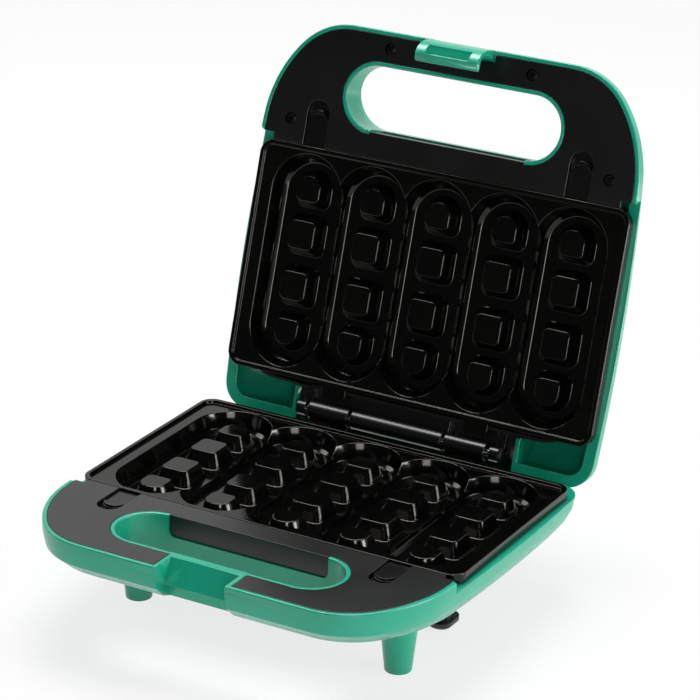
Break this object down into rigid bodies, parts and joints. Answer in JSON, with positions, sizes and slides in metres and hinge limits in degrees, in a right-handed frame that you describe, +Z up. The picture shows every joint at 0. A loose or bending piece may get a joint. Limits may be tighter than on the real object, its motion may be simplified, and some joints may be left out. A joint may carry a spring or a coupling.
{
  "type": "countertop stick cake maker",
  "caption": "Clamshell countertop cooker with long studded pockets in two non-stick plates, a hinged lid, handle bars and a snap latch.",
  "frame": {"origin": "middle of the open cooker's footprint, on the surface it stands on", "axes": "+X to the user's right as they face the handle side, +Y to the rear where the hinge is, +Z up"},
  "size_m": [0.2306, 0.2846, 0.2648],
  "materials": {
    "green_shell": "satin moulded plastic",
    "black_frame": "fine satin texture",
    "button_black": "satin",
    "black_trim": "satin",
    "nonstick": "glossy non-stick coating",
    "element_steel": "oxidised",
    "reflector_sheet": "mill finish",
    "thermostat_metal": "satin",
    "fuse_metal": "satin",
    "terminal_ceramic": "unglazed",
    "screw_steel": "blackened",
    "spring_steel": "bright",
    "pin_steel": "bright",
    "pad_rubber": "matte",
    "lamp_red": "clear tinted",
    "lamp_green": "clear tinted"
  },
  "bodies": {
    "base": {"base_shell": "green_shell", "base_frame": "black_frame", "base_plate": "nonstick", "base_heating_element": "element_steel", "base_reflector": "reflector_sheet", "base_element_clips": "element_steel", "base_thermostat": "thermostat_metal", "base_thermal_fuse": "fuse_metal", "base_terminal_block": "terminal_ceramic", "base_screws": "screw_steel", "base_release_springs": "spring_steel", "cord_gland": "black_trim", "cord_cleats": "black_trim", "foot_pads": "pad_rubber", "hinge_pin": "pin_steel"},
    "lid": {"lid_shell": "green_shell", "lid_frame": "black_frame", "lid_plate": "nonstick", "lid_heating_element": "element_steel", "lid_reflector": "reflector_sheet", "lid_element_clips": "element_steel", "lid_screws": "screw_steel", "lid_release_springs": "spring_steel", "lid_lamp_holder": "black_trim", "lamp_power": "lamp_red", "lamp_ready": "lamp_green", "latch_pin": "pin_steel"},
    "latch": {"latch_hook": "green_shell"},
    "base_release_left": {"base_release_left": "button_black"},
    "base_release_right": {"base_release_right": "button_black"},
    "lid_release_left": {"lid_release_left": "button_black"},
    "lid_release_right": {"lid_release_right": "button_black"}
  },
  "joints": [
    {"name": "lid_hinge", "type": "hinge", "parent": "base", "child": "lid", "pos_m": [0, 0.06765, 0.0622], "axis": [1, 0, 0], "range_deg": [0, 106.8]},
    {"name": "latch_pivot", "type": "hinge", "parent": "lid", "child": "latch", "pos_m": [0, 0.13159, 0.25599], "axis": [-1, 0, 0], "range_deg": [0, 22]},
    {"name": "base_release_left", "type": "slide", "parent": "base", "child": "base_release_left", "axis": [0, -1, 0], "range_m": [0, 0.004], "stiffness_N_per_m": 300, "springref_m": -0.003},
    {"name": "base_release_right", "type": "slide", "parent": "base", "child": "base_release_right", "axis": [0, -1, 0], "range_m": [0, 0.004], "stiffness_N_per_m": 300, "springref_m": -0.003},
    {"name": "lid_release_left", "type": "slide", "parent": "lid", "child": "lid_release_left", "axis": [0, 0.289, 0.9573], "range_m": [0, 0.004], "stiffness_N_per_m": 300, "springref_m": -0.003},
    {"name": "lid_release_right", "type": "slide", "parent": "lid", "child": "lid_release_right", "axis": [0, 0.289, 0.9573], "range_m": [0, 0.004], "stiffness_N_per_m": 300, "springref_m": -0.003}
  ]
}
